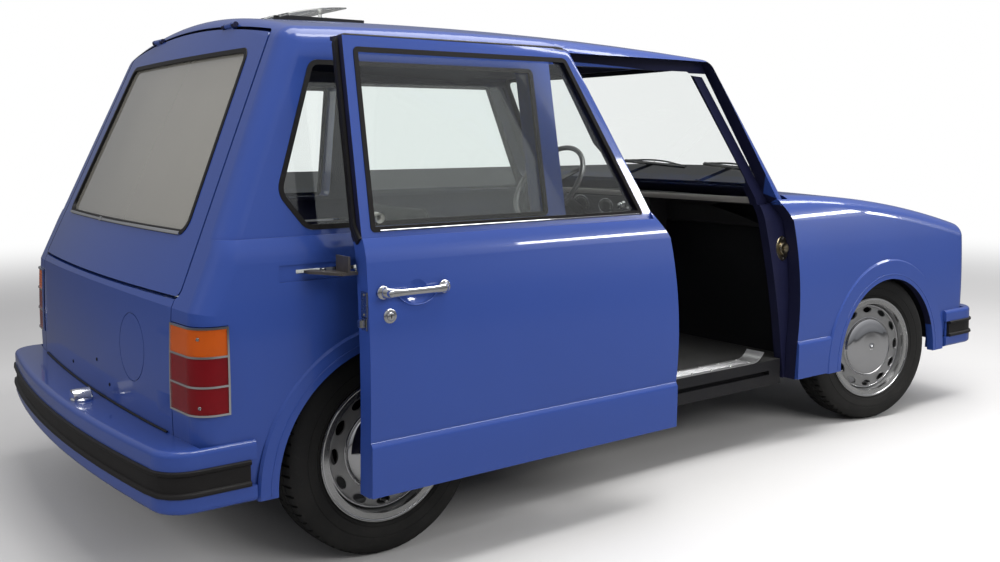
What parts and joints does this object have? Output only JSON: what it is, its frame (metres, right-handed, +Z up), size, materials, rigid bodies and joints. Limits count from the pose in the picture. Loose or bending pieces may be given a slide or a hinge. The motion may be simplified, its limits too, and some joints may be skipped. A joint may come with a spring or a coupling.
{
  "type": "small electric van",
  "caption": "Small two-box electric van with a glazed hollow body, a sliding side door standing open, a top-hinged tail hatch, steered front wheels and pressed steel wheels.",
  "frame": {"origin": "on the ground, below the middle of the whole van, with its open door", "axes": "+X towards the front, +Y to the left, +Z up"},
  "size_m": [3.6156, 1.767, 1.5299],
  "materials": {
    "blue_paint": "gloss",
    "dark_inner_paint": "gloss",
    "chassis_paint": "satin",
    "wheel_paint": "satin",
    "chrome_trim": "polished",
    "aluminium_plate": "satin",
    "steel": "satin",
    "black_rubber": "matte",
    "tyre_rubber": "matte",
    "black_plastic": "matte",
    "clear_glass": "gloss",
    "clear_lid": "gloss",
    "lamp_lens": "gloss",
    "amber_lens": "gloss",
    "headlamp_glass": "gloss",
    "seat_cover": "matte",
    "battery_case": "matte",
    "motor_case": "rough"
  },
  "bodies": {
    "van_body": {"quarter_panel_right": "blue_paint", "quarter_panel_left": "blue_paint", "wing_right": "blue_paint", "wing_left": "blue_paint", "tail_panel": "blue_paint", "roof_panel": "blue_paint", "front_panel": "blue_paint", "door_right": "blue_paint", "door_left": "blue_paint", "bumpers": "blue_paint", "pillar_frame": "dark_inner_paint", "floor_pan": "dark_inner_paint", "front_bay": "chassis_paint", "front_subframe": "chassis_paint", "rear_axle": "chassis_paint", "seat_frame": "chassis_paint", "door_handles": "chrome_trim", "lamp_frames": "chrome_trim", "sill_plates": "aluminium_plate", "door_strikers": "steel", "door_track_arms": "steel", "window_seals": "black_rubber", "bumper_strips": "black_rubber", "grille": "black_plastic", "dashboard": "black_plastic", "steering_column": "black_plastic", "wipers": "black_plastic", "roof_vent_frame": "black_plastic", "windscreen_glass": "clear_glass", "quarter_glasses": "clear_glass", "door_glasses": "clear_glass", "tail_lamps": "lamp_lens", "front_signals": "amber_lens", "headlamps": "headlamp_glass", "seat_cushion": "seat_cover", "seat_back": "seat_cover", "battery_pack": "battery_case", "drive_motor": "motor_case"},
    "wheel_front_right_body": {"wheel_front_right": "wheel_paint", "tyre_front_right": "tyre_rubber"},
    "wheel_front_left_body": {"wheel_front_left": "wheel_paint", "tyre_front_left": "tyre_rubber"},
    "wheel_rear_right_body": {"wheel_rear_right": "wheel_paint", "tyre_rear_right": "tyre_rubber"},
    "wheel_rear_left_body": {"wheel_rear_left": "wheel_paint", "tyre_rear_left": "tyre_rubber"},
    "knuckle_right_body": {"knuckle_right": "chassis_paint"},
    "knuckle_left_body": {"knuckle_left": "chassis_paint"},
    "steering_wheel_body": {"steering_wheel": "black_plastic"},
    "hatch_body": {"hatch": "blue_paint", "hatch_glass": "clear_glass", "hatch_seal": "black_rubber"},
    "bonnet_body": {"bonnet": "blue_paint"},
    "vent_lid_body": {"roof_vent_lid": "clear_lid"}
  },
  "joints": [
    {"name": "steer_right", "type": "hinge", "parent": "van_body", "child": "knuckle_right_body", "pos_m": [1.101, -0.4715, 0.287], "axis": [0, 0, 1], "range_deg": [-18, 42]},
    {"name": "steer_left", "type": "hinge", "parent": "van_body", "child": "knuckle_left_body", "pos_m": [1.101, 0.6385, 0.287], "axis": [0, 0, 1], "range_deg": [-18, 42]},
    {"name": "spin_front_right", "type": "hinge", "parent": "knuckle_right_body", "child": "wheel_front_right_body", "pos_m": [1.07813, -0.5791, 0.287], "axis": [0.2079, 0.9781, 0], "continuous": true},
    {"name": "spin_front_left", "type": "hinge", "parent": "knuckle_left_body", "child": "wheel_front_left_body", "pos_m": [1.12387, 0.7461, 0.287], "axis": [0.2079, 0.9781, 0], "continuous": true},
    {"name": "spin_rear_right", "type": "hinge", "parent": "van_body", "child": "wheel_rear_right_body", "pos_m": [-1.129, -0.5815, 0.287], "axis": [0, 1, 0], "continuous": true},
    {"name": "spin_rear_left", "type": "hinge", "parent": "van_body", "child": "wheel_rear_left_body", "pos_m": [-1.129, 0.7485, 0.287], "axis": [0, 1, 0], "continuous": true},
    {"name": "steering_wheel_turn", "type": "hinge", "parent": "van_body", "child": "steering_wheel_body", "pos_m": [0.291, 0.4135, 0.92], "axis": [-0.8192, 0, 0.5736], "range_deg": [-288, 672]},
    {"name": "hatch_hinge", "type": "hinge", "parent": "van_body", "child": "hatch_body", "pos_m": [-1.369, 0.0835, 1.431], "axis": [0, 1, 0], "range_deg": [0, 75]},
    {"name": "bonnet_hinge", "type": "hinge", "parent": "van_body", "child": "bonnet_body", "pos_m": [0.648, 0.0835, 0.924], "axis": [0, -1, 0], "range_deg": [0, 50]},
    {"name": "vent_lid_hinge", "type": "hinge", "parent": "van_body", "child": "vent_lid_body", "pos_m": [-1.115, 0.0835, 1.496], "axis": [0, -1, 0], "range_deg": [-7, 20]}
  ],
  "couplings": [
    {"joint": "steer_left", "follows": "steer_right", "ratio": 1},
    {"joint": "steering_wheel_turn", "follows": "steer_right", "ratio": 16}
  ]
}
